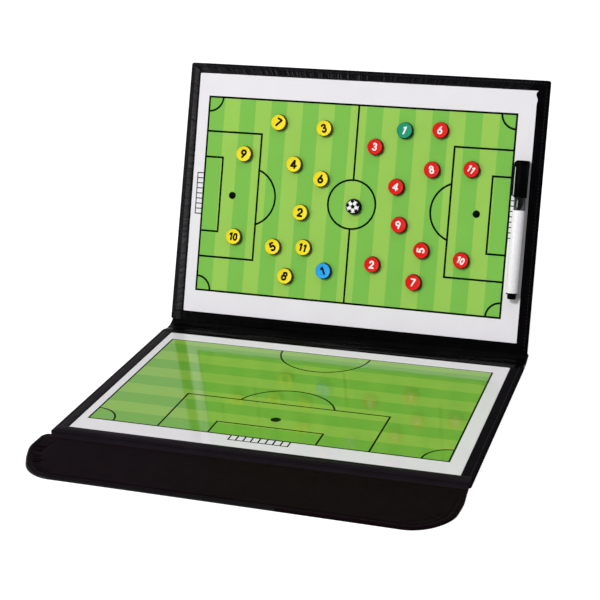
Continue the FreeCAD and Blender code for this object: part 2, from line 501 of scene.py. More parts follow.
def penalty_end(goal, outward, area, small, spot, bow, line_width):
    """Lines at one end of a pitch: the penalty area, the goal area, the spot and the bow outside the area.
    Goal is the middle of the goal line, areas are (width, depth), the spot is (distance, radius) and the bow
    is (half width, depth)."""
    goal = Vector(goal)
    inward = -Vector(outward)
    along = Vector((-inward.y, inward.x))
    paths = []
    for width, depth in (area, small):
        side = along * width / 2
        out = inward * depth
        paths += frame_lines([goal - side, goal - side + out, goal + side + out, goal + side], line_width)
    radius = (bow[0] ** 2 + bow[1] ** 2) / (2 * bow[1])
    centre = goal + inward * (area[1] + bow[1] - radius)
    spread = math.degrees(math.asin(bow[0] / radius))
    if bow[1] > radius:
        spread = 180 - spread
    heading = math.degrees(math.atan2(inward.y, inward.x))
    paths.append(arc(centre, radius, heading - spread, heading + spread))
    return ink(paths, line_width) + [(oval(goal + inward * spot[0], spot[1], spot[1], 28), BLACK)]


def outline_and_corners(left, low, right, high, radius, turns, line_width, rear_width):
    """The outer line of a pitch, and the quarter circles in some corners, each with its start angle."""
    paths = frame_lines([(left, high), (left, low), (right, low), (right, high)], line_width)
    for corner, start in turns:
        paths.append(arc(corner, radius, start, start + 90, 12))
    return ink(paths, line_width) + ink([line((left, high), (right, high))], rear_width)


def base_print():
    """Half a pitch, with its goal line in front and the centre circle cut by the rear line."""
    left, right = board_low.x + 7.2, board_high.x - 12.15
    low, high = board_low.y + 20.8, board_high.y - 14.7
    middle = left + 137.5
    width, rear_width = 1.5, 1.0
    circle = 38
    in_front = 0, -1
    corner_arcs = [((left, low), 0), ((right, low), 90)]
    layers = stripes(left, low, right, high, step=18.3, upright=False)
    layers += outline_and_corners(left, low, right, high, radius=20, turns=corner_arcs, line_width=width,
                                  rear_width=rear_width)
    layers += penalty_end((middle, low), in_front, area=(163.2, 65), small=(83.2, 20.7), spot=(35.7, 4.0),
                          bow=(38, 27.5), line_width=width)
    layers += ink([arc((middle, high), circle, 180, 360)], width)
    return layers + goal_net((middle, low), width=45.6, depth=8, outward=in_front, net_line=1.25)


def lid_print():
    """A whole pitch with a goal at each side; the halfway line stops at the centre circle."""
    left, right = board_low.x + 10.4, board_high.x - 15.9
    low, high = board_low.y + 19.7, board_high.y - 20.3
    middle = (left + right) / 2, (low + high) / 2
    width = 1.7
    circle = 21
    stripe_count = 19
    corner_arcs = [((left, low), 0), ((right, low), 90), ((right, high), 180), ((left, high), 270)]
    layers = stripes(left, low, right, high, (right - left) / stripe_count, upright=True)
    layers += outline_and_corners(left, low, right, high, radius=12.5, turns=corner_arcs, line_width=width,
                                  rear_width=width)
    for near, far in ((low, middle[1] - circle), (middle[1] + circle, high)):
        layers += ink([line((middle[0], near), (middle[0], far))], width)
    layers += ink([arc(middle, circle, 0, 180), arc(middle, circle, 180, 360)], width)
    for goal_x, outward in ((left, (-1, 0)), (right, (1, 0))):
        goal = (goal_x, middle[1])
        layers += penalty_end(goal, outward, area=(110, 50.2), small=(65, 16), spot=(27.2, 3.2),
                              bow=(23.7, 16.3), line_width=width)
        layers += goal_net(goal, width=35.8, depth=6.2, outward=outward, net_line=0.85)
    return layers


def board_outline(inset):
    """A board's outline, drawn in by an inset."""
    half_x, half_y, radius = board_high.x - inset, board_high.y - inset, board_corner - inset
    outline = []
    for x, y, start in ((1, 1, 0), (-1, 1, 90), (-1, -1, 180), (1, -1, 270)):
        outline += arc((x * (half_x - radius), y * (half_y - radius)), radius, start, start + 90, 5)
    return outline


def printed_board(node, print_layers, greens, place, body):
    """A printed steel sheet with a small bevel round its top."""
    inner = board_outline(board_bevel)
    flat, triangles, looks = painted([(board_outline(0), WHITE), (inner, WHITE)] + print_layers)
    points, faces, looks = thickened(flat, triangles, looks, board_low.z, board_high.z)
    on_rim = np.abs(points[:, 0]) > board_high.x - board_corner
    on_rim |= np.abs(points[:, 1]) > board_high.y - board_corner
    inside = {(round(x, 3), round(y, 3)) for x, y in inner}
    for index in np.flatnonzero(on_rim & (points[:, 2] == board_high.z)):
        if (round(points[index, 0], 3), round(points[index, 1], 3)) not in inside:
            points[index, 2] -= board_bevel
    inks = [white_ink, *greens, black_ink]
    board = add_piece(node + "_printed", points, faces, inks, looks, place)
    declare(board, body, "printed_steel", node)


# Leather wraps of the two panels. Their edges have several points for each cell of their outside.

panel_cell = 3.0
points_per_cell = 5
outside_reach = 6.0
outside_lines, rounding_lines, border_lines = 10, 5, 22
pleat_steps = 1.9, 1.9, 2.1, 2.6, 5.5


def square_loop(cells_x, cells_y):
    """Points round a square from -1 to 1, evenly along each side."""
    x, y = np.meshgrid(np.linspace(-1, 1, cells_x + 1), np.linspace(-1, 1, cells_y + 1))
    return np.column_stack((x.ravel(), y.ravel()))[grid_rim(cells_y + 1, cells_x + 1)]


def rounded_ring(square, inset):
    """A loop inside the panel's edge, with rounded corners."""
    half = np.array((panel_half_x - inset, panel_half_y - inset))
    radius = max(panel_corner - inset, smallest_corner)
    points = square * half
    centre = np.sign(points) * (half - radius)
    out = points - centre
    corner = (np.abs(points) > half - radius).all(axis=1)
    points[corner] = centre[corner] + out[corner] * (radius / np.linalg.norm(out[corner], axis=1))[:, None]
    return points


def wrap_profile():
    """Insets and heights from the outside face, round the edge and over the border to its lip."""
    quarter = np.radians(np.linspace(0, 90, rounding_lines))
    profile = []
    for inset in np.linspace(outside_reach, edge_radius + 0.4, outside_lines):
        profile.append((inset, seam_depth * bump_at(inset, seam_inset, seam_width)))
    for angle in quarter:
        profile.append((edge_radius * (1 - math.sin(angle)), edge_radius * (1 - math.cos(angle))))
    for angle in quarter:
        profile.append((edge_radius * (1 - math.cos(angle)), panel_top - edge_radius * (1 - math.sin(angle))))
    for inset in np.linspace(edge_radius, border_lip, border_lines)[1:]:
        share = (inset - edge_radius) / (border_lip - edge_radius)
        height = panel_top + border_crown * math.sin(math.pi * share) ** 0.7
        height -= seam_depth * bump_at(inset, seam_inset, seam_width)
        height -= lip_fall * smooth_step(share, 0.9, 1)
        profile.append((inset, height))
    return profile


def pleats(count, seed):
    """Small folds across the border, up to 1 high, at even points round the panel."""
    draw = random.Random(seed)
    around = np.linspace(0, 1, count, endpoint=False)
    length = 4 * (panel_half_x + panel_half_y)
    total = np.zeros(count)
    place = 0.0
    while place < length:
        place += draw.choice(pleat_steps)
        width = draw.uniform(0.5, 0.8) / length
        total += draw.uniform(0.2, 1) * bump_at(around, place / length, width)
    return total


def by_side(x, left, right, far):
    """A value for a panel's left border, one for its right border and one for the borders between them."""
    start, stop = board_high.x - 6, board_high.x + 1.5
    return far + (left - far) * smooth_step(-x, start, stop) + (right - far) * smooth_step(x, start, stop)


def border_fall(x, inset, falls):
    """How far a border has fallen below its lip, towards the panel's edge. Falls are by side."""
    share = np.clip((inset - edge_radius) / (border_lip - edge_radius), 0, 1)
    return by_side(x, *falls) * (1 - share) ** 1.5


def undulation(x, y, seed, size):
    """Slow waves between 0 and 1 over a surface."""
    draw = random.Random(seed)
    waves = 5
    total = 0
    for _ in range(waves):
        turn = draw.uniform(0, 2 * math.pi)
        wave = size * draw.uniform(0.6, 1.6)
        total = total + np.sin((x * math.cos(turn) + y * math.sin(turn)) / wave + draw.uniform(0, 6))
    return 0.5 + total / (2 * waves)


def let_out(points, fold_side, left, right, far):
    """Lets a panel's border out past its edges. Left and right are each given at the fold's side and at the
    far side, and far is for the side away from the fold."""
    moved = np.array(points, float)
    x, y = moved.T[:2].copy()
    share = (1 - fold_side * y / panel_half_y) / 2
    border_x, border_y = panel_half_x - board_high.x, panel_half_y - board_high.y
    past_left = np.clip(-x - board_high.x, 0, None) / border_x
    past_right = np.clip(x - board_high.x, 0, None) / border_x
    past_far = np.clip(-fold_side * y - board_high.y, 0, None) / border_y
    moved[:, 0] += past_right * (right[0] + (right[1] - right[0]) * share)
    moved[:, 0] -= past_left * (left[0] + (left[1] - left[0]) * share)
    moved[:, 1] -= past_far * far * fold_side
    return moved


def lip_tuck(flat, inset):
    """How far the lid's right lip is drawn over its board: a little all along, more near the far corner."""
    x, y = flat[:, 0], flat[:, 1]
    near_corner, beside_it, width = board_high.y - 3.2, board_high.y - 8, 2.0
    all_along, far_more, corner_more, beside_less = 0.55, 0.3, 0.8, 0.6
    amount = all_along + far_more * y / panel_half_y
    amount = amount + corner_more * bump_at(y, near_corner, width)
    amount = amount - beside_less * bump_at(y, beside_it, width)
    amount = amount * (1 - smooth_step(np.abs(y), board_high.y - 1.5, board_high.y))
    amount = amount * smooth_step(x, board_high.x - 3, board_high.x)
    return amount * smooth_step(inset, border_lip - 4, border_lip)


def border_level(flat, inset, height, folds, falls, strip_sides):
    """Heights along a ring of the border, with its pleats. It lies lower where a strip covers it."""
    x, y = flat[:, 0], flat[:, 1]
    side_rise = 0.2
    from_edge, to_lip = smooth_step(inset, 0.6, 3.2), 1 - smooth_step(inset, border_lip - 1.2, border_lip)
    level = height + folds * from_edge * to_lip
    level += side_rise * smooth_step(np.abs(x), board_high.x - 0.4, board_high.x + 0.4)
    level -= border_fall(x, inset, falls)
    for side in strip_sides:
        covered = smooth_step(side * y, strip_start - 0.3, strip_start + 0.3)
        covered = covered * (1 - smooth_step(np.abs(x), spine_half - 0.7, spine_half + 0.2))
        level = level * (1 - covered) + np.minimum(level, panel_top - border_drop) * covered
    return level


def wrap_rings(body, square, folds, falls, strip_sides):
    """Rings of points from the outside face over the edge and the border, and back round the core."""
    inner_level, inner_edge = core_high.z + leather_gap, skin - leather_gap
    lip_lift = 0.76
    profile = wrap_profile()
    inside = [(border_lip, inner_level), (inner_edge, inner_level), (inner_edge, inner_edge)]
    rings = []
    for index, (inset, height) in enumerate(profile + inside):
        flat = rounded_ring(square, inset)
        level = np.full(len(square), height)
        on_top = height > panel_top / 2
        if on_top and index < len(profile):
            level = border_level(flat, inset, height, folds, falls, strip_sides)
        if on_top and body == "lid":
            tuck = lip_tuck(flat, inset)
            level += lip_lift * smooth_step(tuck, 0, 0.25) + 0.1 * tuck
            flat[:, 0] -= tuck
        rings.append(np.column_stack((flat, level)))
    return rings


def wrap_looks(ring_count, square):
    """The look of each face between the rings: 1 on the dull walls and on the right border, where the dull
    leather is painted shade on that side, and 0 elsewhere.
    """
    wall_line = outside_lines + rounding_lines // 2
    border_line = wall_line + rounding_lines + 1
    on_right = square[:, 0] > (board_high.x - 1) / panel_half_x
    looks = []
    for ring in range(ring_count - 1):
        dull = on_right if ring >= border_line else np.full(len(square), ring >= wall_line)
        looks += dull.astype(int).tolist()
    return looks


def outside_panel(cells_x, cells_y, seed):
    """Rows of points over a panel's outside, which is a little puffed."""
    puff_height, puff_size, puff_margin = 0.3, 28, 12
    half_x, half_y = panel_half_x - outside_reach - 1, panel_half_y - outside_reach - 1
    x, y = np.meshgrid(np.linspace(-half_x, half_x, cells_x + 1), np.linspace(-half_y, half_y, cells_y + 1))
    puff = puff_height * undulation(x, y, seed, puff_size) * smooth_step(half_x - np.abs(x), 0, puff_margin)
    puff = puff * smooth_step(half_y - np.abs(y), 0, puff_margin)
    return np.column_stack((x.ravel(), y.ravel(), puff.ravel()))


def leather_wrap(body, place, ease, falls, materials, strip_sides, pleat_heights, seed):
    """The leather round one panel's core. The second material is for the dull walls and for the right border,
    as painted shade on that side.
    """
    cells_x = round(2 * panel_half_x / panel_cell)
    cells_y = round(2 * panel_half_y / panel_cell)
    square = square_loop(cells_x * points_per_cell, cells_y * points_per_cell)
    count = len(square)
    folds = pleats(count, seed) * by_side(square[:, 0] * panel_half_x, *pleat_heights)
    rings = wrap_rings(body, square, folds, falls, strip_sides)
    first = len(rings) * count
    faces = quads(len(rings), count, closed=True)
    faces.append(tuple(range(first - count, first)))
    faces += shifted(quads(cells_y + 1, cells_x + 1), first)
    rim = grid_rim(cells_y + 1, cells_x + 1)
    for index, (corner, following) in enumerate(zip(rim, rim[1:] + rim[:1])):
        near = [(index * points_per_cell + step) % count for step in range(points_per_cell + 1)]
        faces.append((first + corner, *near, first + following))
    looks = wrap_looks(len(rings), square)
    looks += [0] * (len(faces) - len(looks))

    points = np.vstack((*rings, outside_panel(cells_x, cells_y, seed)))
    wrap = add_piece(body + "_leather", let_out(points, **ease), faces, materials, looks, place)
    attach(wrap, body)
    turn_in = 2 * (panel_top + border_lip)
    width, length = 2 * panel_half_x + turn_in, 2 * panel_half_y + turn_in
    declare_leather(wrap, width, length, "folded", body + "_core", body + "_cover")


# Stitches

stitch_step = 3.0
stitch_length = 2.1
stitch_radius = 0.3
stitch_sink = 0.12
outside_stitch_sink = 0.14


def stitches(path):
    """Points and faces of a row of stitches, short arched threads, along a path of (place, direction, up)."""
    points, faces = [], []
    stations = ((-1, 0.45, -0.22), (-0.65, 0.9, 0.05), (0, 1, 0.16), (0.65, 0.9, 0.05), (1, 0.45, -0.22))
    sides = 6
    for place, direction, up in path:
        across = direction.cross(up)
        first = len(points)
        for along, thick, lift in stations:
            centre = place + direction * along * stitch_length / 2 + up * lift
            for side in range(sides):
                angle = 2 * math.pi * side / sides
                spoke = across * math.cos(angle) + up * math.sin(angle)
                points.append(tuple(centre + spoke * stitch_radius * thick))
        faces += shifted(capped_tube(len(stations), sides), first)
    return points, faces


def seam(body, place, ease, falls, sides):
    """Stitches along some sides of a panel, on its border and on its outside. A side is a unit direction."""
    name = body + "_stitching"
    slant = 0.07
    draw = random.Random(name)
    up = Vector((0, 0, 1))
    path = []
    for side_x, side_y in sides:
        out = Vector((side_x, side_y, 0))
        along = Vector((-side_y, side_x, 0))
        reach = panel_half_x * abs(side_x) + panel_half_y * abs(side_y) - seam_inset
        length = panel_half_y * abs(side_x) + panel_half_x * abs(side_y) - seam_inset
        count = int(2 * length / stitch_step)
        for index in range(count):
            at = out * reach + along * ((index + 0.5) / count * 2 - 1) * length
            direction = (along + out * draw.uniform(-slant, slant)).normalized()
            level = panel_top - stitch_sink - float(border_fall(at.x, seam_inset, falls))
            path.append((at + Vector((0, 0, level)), direction, up))
            path.append((at + Vector((0, 0, seam_depth + outside_stitch_sink)), direction, -up))
    points, faces = stitches(path)
    row = add_piece(name, let_out(points, **ease), faces, [thread], place=place, sharp=60)
    declare(row, body, "black_leather")


# Leather strips across the folds

wall_heights = 0.9, 2.0, 3.1


def nose(distance):
    """How full a sheet is at a distance from its end, which is rounded over."""
    share = np.clip(np.asarray(distance, float) / bull_nose, 0, 1)
    return 0.3 + 0.7 * np.sqrt(1 - (1 - share) ** 2)


def spaced_lines(length, dense_reach, dense_step, wide_step):
    """Places along a length, closer together near its two ends, with extra ones where an end is rounded."""
    near = [0, 0.12, 0.4, 0.8, bull_nose] + list(np.arange(2, dense_reach, dense_step))
    middle = np.linspace(dense_reach, length - dense_reach, round((length - 2 * dense_reach) / wide_step) + 1)
    return np.concatenate((near, middle, length - np.array(near[::-1])))


spine_columns = spaced_lines(2 * spine_half, dense_reach=8, dense_step=1.5, wide_step=2)
flap_columns = spaced_lines(flap_width, flap_corner, dense_step=0.75, wide_step=2.5)


def wrinkles(x, along, seed, count, where, sizes):
    """Long creases across a strip: soft ridges that run mostly along it, more of them on its left."""
    reach, most_at, most_slope, most_bow = 150, -90, 0.025, 0.00012
    draw = random.Random(seed)
    total = 0
    for _ in range(count):
        middle_x = draw.triangular(-reach, reach, most_at)
        middle = draw.uniform(*where)
        slope = draw.uniform(-most_slope, most_slope)
        bow = draw.uniform(-most_bow, most_bow)
        half_length = draw.uniform(25, 85)
        width = draw.uniform(0.55, 1.2)
        ridge = middle + slope * (x - middle_x) + bow * (x - middle_x) ** 2
        height = draw.uniform(*sizes)
        total = total + height * bump_at(along, ridge, width) * bump_at(x, middle_x, half_length)
    return total


def strip_floor(t):
    """A strip's underside: on the floor past the panel, on the lowered border, or over the board's edge."""
    if t > panel_half_y:
        return 0
    return strip_underside if t >= strip_start else board_high.z + leather_gap


def fold_strip(name, outward, bend, place, height, fold_reach, free_reach, start, across, material):
    """A strip of leather from beside a board, over its panel's border and past the panel's edge and a fold,
    bent up at the fold. Outward is the side of the panel, distances are measured from the panel's middle,
    height(x, t) is the strip's top at a distance t, and across(t) gives the x of its columns."""
    top_step, floor_step, wall_gap = 0.45, 0.8, 0.05
    bend_before, bend_after = 1.2, 2.6
    end = fold_reach + free_reach
    wall = panel_half_y + wall_gap
    run = across(start) - across(start)[0]
    full = nose(np.minimum(run, run[-1] - run))

    def level(t, side):
        """Heights of the top, side 1, or of the underside, side -1, which meet at the strip's ends."""
        top, floor = height(across(t), t), strip_floor(t)
        middle = (top + floor) / 2
        return middle + (top - middle) * full if side > 0 else middle - (middle - floor) * full

    above = np.linspace(start, end, round((end - start) / top_step))
    below = np.linspace(end, wall, round((end - wall) / floor_step))
    under = (panel_half_y - 0.5, panel_half_y - 4, strip_start, board_high.y + 0.15)
    under = [t for t in under if t > start] + [start]
    section = [(t, level(t, 1)) for t in above] + [(t, level(t, -1)) for t in below]
    section += [(wall, np.full(len(full), rise)) for rise in wall_heights]
    section += [(t, level(t, -1)) for t in under]
    rows = []
    for t, heights in section:
        turn = math.radians(bend) * smooth_step(t, fold_reach - bend_before, fold_reach + bend_after)
        away, up = t - fold_reach, heights - skin
        y = outward * (fold_reach + away * math.cos(turn) - up * math.sin(turn))
        z = skin + away * math.sin(turn) + up * math.cos(turn)
        rows.append(np.column_stack((across(t), y, z)))
    points = np.concatenate(rows)
    columns = len(full)
    faces = looped(quads(len(rows) + 1, columns), len(points))
    ends = columns * np.arange(len(rows))
    faces += [tuple(ends), tuple(ends + columns - 1)]
    return add_piece(name, points, faces, [material], place=place)


def spine_height(x, along):
    """The strip's top over the spine and the borders beside it, at a distance past the back fold."""
    wave_height, hem_fall, hem_groove, end_fall = 0.06, 0.55, 0.25, 0.3
    half = spine_reach / 2
    from_middle = np.abs(along - half)
    fold_gap = back_fold.y - panel_half_y
    valley = skin + back_fold.z + 0.25
    level = valley + (strip_top - valley) * smooth_step(from_middle, 2.5, half + fold_gap + 0.9)
    creases = wrinkles(x, along, seed=5, count=40, where=(-8, spine_reach + 8), sizes=(0.25, 0.75))
    level = level + wave_height * np.sin(x / 23 + 1) + creases
    hem = smooth_step(np.abs(x), spine_half - 6.5, spine_half + 2)
    level = level - hem_fall * hem - hem_groove * bump_at(np.abs(x), spine_half - 7, 0.8)
    return level - end_fall * smooth_step(from_middle, half + 8.6, half + 9.35)


def spine_across(t):
    """The columns of the strip, whose ends lie a little further out at the fold than on a panel's border."""
    on_border, more_at_fold = 1.7, 1.6
    past_edge = float(smooth_step(t, panel_half_y - 2.5, panel_half_y + 0.5))
    end = spine_half + on_border + more_at_fold * past_edge
    return end * (spine_columns / spine_half - 1)


def spine_strips():
    """The spine's leather in two halves, each following the fold that it crosses."""
    half = spine_reach / 2
    width, length = 2 * spine_half, half + back_fold.y - strip_start
    shared = {"fold_reach": back_fold.y, "free_reach": half, "start": strip_start, "across": spine_across,
              "material": spine_leather_painted_shade}
    lower = fold_strip("spine_lower_leather", outward=1, bend=spine_bend, place=Matrix(),
                       height=lambda x, t: spine_height(x, t - back_fold.y), **shared)
    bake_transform(lower)
    upper = fold_strip("spine_upper_leather", outward=-1, bend=lid_bend, place=lid_place,
                       height=lambda x, t: spine_height(x, spine_reach - (t - back_fold.y)), **shared)
    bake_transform(upper)
    for strip, core in ((lower, "base_core"), (upper, "lid_core")):
        declare_leather(strip, width, length, "stretched", core, "spine_cover")


# Closing flap

flap_split = front_fold.y - 3
flap_depth = flap_split - flap_low.y
flap_top = flap_high.z
root_start = board_high.y - 0.7


def flap_root_height(x, t):
    """The strip's top in front of the base: the crowned border, a crease, a ridge and the flap's start."""
    border_slope, crease_depth, ridge_height, hollow_depth, end_fall = 0.3, 0.32, 0.5, 0.2, 0.2
    edge = panel_half_y
    border_top = board_high.z + 0.5
    level = flap_top + (border_top - flap_top) * (1 - smooth_step(t, edge - 2.8, edge + 1.6))
    level = level - border_slope * smooth_step(t, root_start + 1, edge - 2)
    level = level - crease_depth * bump_at(t, edge + 1.4, 0.55) + ridge_height * bump_at(t, edge + 2.6, 0.8)
    level = level - hollow_depth * bump_at(t, edge + 5.2, 1.6)
    rippled = smooth_step(t, strip_start, strip_start + 3) * (1 - smooth_step(t, edge + 5, edge + 12))
    creases = wrinkles(x, t, seed=8, count=16, where=(strip_start + 2, edge + 7), sizes=(0.1, 0.3))
    level = level + rippled * creases
    return level - end_fall * (1 - smooth_step(t, root_start - 0.2, root_start + 0.7))


def flap_sway(x, y):
    """How far the flap's soft ends stand off their straight lines."""
    left_out, left_in = 2.3, 7.2
    right_out, right_bulge, right_in = 0.4, 1.4, 2.4
    out = flap_split - y
    left = left_in * smooth_step(out, 16, 46) - left_out
    right = right_out + right_bulge * bump_at(out, 20, 14) - right_in * smooth_step(out, 34, 60)
    return left * smooth_step(-x, 60, 160) + right * smooth_step(x, 60, 156)


def root_across(t):
    """The columns of the strip: inside the base's edges on its border, and the flap's own at the flap."""
    on_border = -spine_half - 1.5 + (2 * spine_half + 2.5) * flap_columns / flap_width
    on_flap = flap_low.x + flap_columns
    on_flap = on_flap + flap_sway(on_flap, flap_split)
    return on_border + (on_flap - on_border) * smooth_step(t, panel_half_y - 0.5, -flap_split)


def flap_root():
    front = -front_fold.y
    root = fold_strip("flap_root_leather", outward=-1, bend=0, place=Matrix(), height=flap_root_height,
                      fold_reach=front, free_reach=-flap_split - front, start=root_start, across=root_across,
                      material=root_leather_painted_light)
    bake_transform(root)
    declare_leather(root, flap_width, -flap_split - root_start, "laid", "base_core", "flap_wall")


def flap_rows():
    """Distances from the flap's front edge, closer together at the edge, in the corners and at the fold."""
    fold = tongue_fold.y - flap_low.y
    fold_reach, fold_count, fold_clear, end_clear = 4.2, 11, 5, 0.1
    fold_lines = fold + np.linspace(-fold_reach, fold_reach, fold_count)
    lines = spaced_lines(2 * flap_depth, flap_corner, dense_step=0.75, wide_step=2.2)
    plain_lines = lines[(lines < flap_depth - end_clear) & (np.abs(lines - fold) > fold_clear)]
    return np.sort(np.concatenate((plain_lines, fold_lines, [flap_depth])))


# The flap's grid: distances from its edges, and how far into a corner's square each point lies
from_left, from_front = np.meshgrid(flap_columns, flap_rows())
from_side = np.minimum(from_left, flap_width - from_left)
on_left = from_left < flap_width / 2
side_share = np.clip(1 - from_side / flap_corner, 0, 1)
front_share = np.clip(1 - from_front / flap_corner, 0, 1)
flap_inset = np.minimum(np.minimum(from_side, from_front), flap_corner)


def flap_places():
    """The x and y of the flap's grid, with rounded corners, swayed ends and a front edge a little askew."""
    outermost = np.maximum(side_share, front_share)
    from_corner = np.maximum(np.hypot(side_share, front_share), 1e-9)
    shrink = np.where((side_share > 0) & (front_share > 0), outermost / from_corner, 1)
    x = from_side + flap_corner * side_share * (1 - shrink)
    y = flap_low.y + from_front + flap_corner * front_share * (1 - shrink)
    x = np.where(on_left, flap_low.x + x, flap_high.x - x)
    most_askew, askew_from, askew_over = 2.9, -150, 280
    askew = most_askew * np.clip((x - askew_from) / askew_over, 0, 1) ** 1.6
    return x + flap_sway(x, y), y - askew * smooth_step(flap_split - y, 5, 60)


def gathers(along, draw, start, stop, step, reach, height):
    """Puckers across the flap's rim, spaced along its edge from start to stop, over a reach of insets. They
    are mostly dips, so that the closed flap still lies on the lid."""
    sunk = 0.8
    total = np.zeros_like(along)
    for place in np.arange(start, stop, step):
        middle = place + draw.uniform(-0.25, 0.25) * step
        total += draw.uniform(0.55, 1) * bump_at(along, middle, step * draw.uniform(0.24, 0.32))
    window = smooth_step(flap_inset, reach[0], reach[0] + 2)
    window = window * (1 - smooth_step(flap_inset, reach[1] - 3.5, reach[1]))
    window = window * smooth_step(along, start - step, start) * (1 - smooth_step(along, stop - step, stop))
    return height * (total - sunk) * window


def flap_puckers():
    """Deep puckers at the flap's left end, finer ones round its left corner and a few round its right one."""
    around = flap_depth - flap_corner + flap_corner * np.arctan2(front_share, side_share)
    along = np.where(front_share > 0, around, flap_depth - from_front)
    left_end = (side_share > 0) & on_left
    right_end = (side_share > 0) & ~on_left
    draw = random.Random(21)
    total = gathers(along, draw, 17, 52, step=5.2, reach=(4.5, 14), height=1.5) * left_end
    total += gathers(along, draw, 52, 80, step=3.4, reach=(4.5, 11), height=0.6) * left_end
    total += gathers(along, draw, 44, 78, step=6.5, reach=(6, 12), height=0.6) * right_end
    return total


def flap_crease(x, y):
    """A crease of depth 1 near the flap's left end, from its root outwards."""
    start, end = np.array((-147.5, flap_split)), np.array((-153.5, -149.0))
    way = (end - start) / np.linalg.norm(end - start)
    run = (x - start[0]) * way[0] + (y - start[1]) * way[1]
    apart = (x - start[0]) * way[1] - (y - start[1]) * way[0]
    return bump_at(apart, 0, 0.9) * smooth_step(run, 0, 6) * (1 - smooth_step(run, 22, 31))


def flap_level(x, y):
    """The flap's top: a rolled rim with a groove behind it, puckers, a crease and slow waves."""
    roll_height, more_on_left, groove_depth, crease_depth, wave_height = 0.12, 0.25, 0.45, 0.5, 0.25
    fade = smooth_step(from_front, flap_depth - 0.5, flap_depth - 14)
    roll = roll_height + more_on_left * smooth_step(-x, -40, 150)
    rise = roll * np.sin(math.pi * np.clip(flap_inset / flap_rim, 0, 1))
    rise = rise - groove_depth * bump_at(flap_inset, flap_rim, 0.75)
    waves = undulation(x, y, seed=4, size=22) - 0.5
    rise = rise + flap_puckers() - crease_depth * flap_crease(x, y) + wave_height * waves
    tail = flap_root_height(x, -flap_low.y - from_front) - flap_top
    return flap_top + rise * fade + tail


def flap_sheet():
    """The flap's outer part, with its rounded corners and rolled rim, whose left part takes the glossier lid
    leather as a painted highlight.
    """
    x, y = flap_places()
    top = flap_level(x, y)
    middle = top / 2
    full = nose(flap_inset)
    upper = np.stack((x, y, middle + (top - middle) * full), axis=-1)
    lower = np.stack((x, y, middle - middle * full), axis=-1)
    points = np.concatenate((upper.reshape(-1, 3), lower.reshape(-1, 3)))
    count = x.size
    faces = quads(*x.shape)
    faces += shifted(faces, count)
    rim = grid_rim(*x.shape)
    for index, following in zip(rim, rim[1:] + rim[:1]):
        faces.append((index, following, following + count, index + count))
    # The rim's left part takes the glossier lid leather: a painted highlight on the side where the light
    # falls.
    highlight_width, highlight_end = 1.4, 40
    rim_highlight = ((flap_inset < highlight_width) & (x < highlight_end)).ravel()
    looks = [int(all(rim_highlight[index % count] for index in face)) for face in faces]
    flap = add_piece("flap_leather", points, faces, [flap_leather, lid_leather], looks)
    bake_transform(flap)
    declare_leather(flap, flap_width, flap_depth, "laid", "flap_magnets", "flap_wall", "flap_tongue")


# Tokens

def ring(centre, half_x, half_y):
    """An oval as two open halves."""
    loop = oval(centre, half_x, half_y)
    half = len(loop) // 2
    return [loop[:half + 1], loop[half:] + loop[:1]]


digit_top = 2.75
digits = {
    "0": ring((0, 0), 1.4, digit_top),
    "1": [line((0.35, -digit_top), (0.35, digit_top)), line((0.35, digit_top), (-0.95, 1.75))],
    "2": [arc((0, 1.25), 1.5, 170, -38), line((1.18, 0.33), (-1.45, -digit_top)),
          line((-1.45, -digit_top), (1.55, -digit_top))],
    "3": [arc((-0.1, 1.45), 1.3, 150, -90), arc((-0.1, -1.3), 1.45, 90, -150)],
    "4": [line((0.75, -digit_top), (0.75, digit_top)), line((0.75, digit_top), (-2.0, -1.35)),
          line((-2.0, -1.35), (1.9, -1.35))],
    "5": [line((1.3, digit_top), (-0.95, digit_top)), line((-0.95, digit_top), (-1.2, 0.3)),
          arc((-0.1, -1.05), 1.7, 128, -140)],
    "6": ring((0, -1.15), 1.6, 1.6) + [line((-1.4, -0.4), (0.75, digit_top))],
    "7": [line((-1.6, digit_top), (1.5, digit_top)), line((1.5, digit_top), (-0.55, -digit_top))],
    "8": ring((0, 1.5), 1.25, 1.25) + ring((0, -1.3), 1.5, 1.5),
    "9": ring((0, 1.15), 1.6, 1.6) + [line((1.4, 0.4), (-0.75, -digit_top))],
}
# How far each number is turned anticlockwise on its token
number_turns = {
    "yellow_02": -5, "yellow_03": 18, "yellow_05": 30, "yellow_06": -3, "yellow_07": -27, "yellow_08": -22,
    "yellow_09": -8, "yellow_10": -6, "yellow_11": -12, "blue_01": 23, "green_01": -22,
    "red_02": -3, "red_03": -6, "red_04": -10, "red_05": 88, "red_06": -4, "red_07": -8, "red_08": 15,
    "red_09": 17, "red_10": -22, "red_11": -31,
}
# The colours of each kind's face and of its wall, which is painted darker as shade, the finish of its
# numbers, and their line and size
dark_stroke, white_stroke = 1.6, 1.35
token_kinds = {
    "yellow": ((0.90, 0.72, 0.02), (0.11, 0.09, 0.004), dark_number, dark_stroke, 1.0),
    "red": ((0.72, 0.016, 0.013), (0.10, 0.004, 0.003), white_number, white_stroke, 0.9),
    "blue": ((0.03, 0.36, 0.82), (0.005, 0.045, 0.08), dark_number, dark_stroke, 0.95),
    "green": ((0.02, 0.29, 0.165), (0.004, 0.04, 0.022), white_number, white_stroke, 0.95),
}
token_finishes = {}
for colour, (face_colour, shaded_wall_colour, *_) in token_kinds.items():
    face_plastic = moulded(colour + "_plastic", face_colour, (0.22, 0.3), 0.15)
    # The wall's finish is a darker copy of the face's plastic: painted shade on the token's side.
    token_finishes[colour] = [face_plastic, moulded(colour + "_wall", shaded_wall_colour, (0.3, 0.4), 0.05)]
digit_step = 3.8
single_digit = 1.12
number_thickness = 0.06
token_dish = 0.35
ball_turn = 96


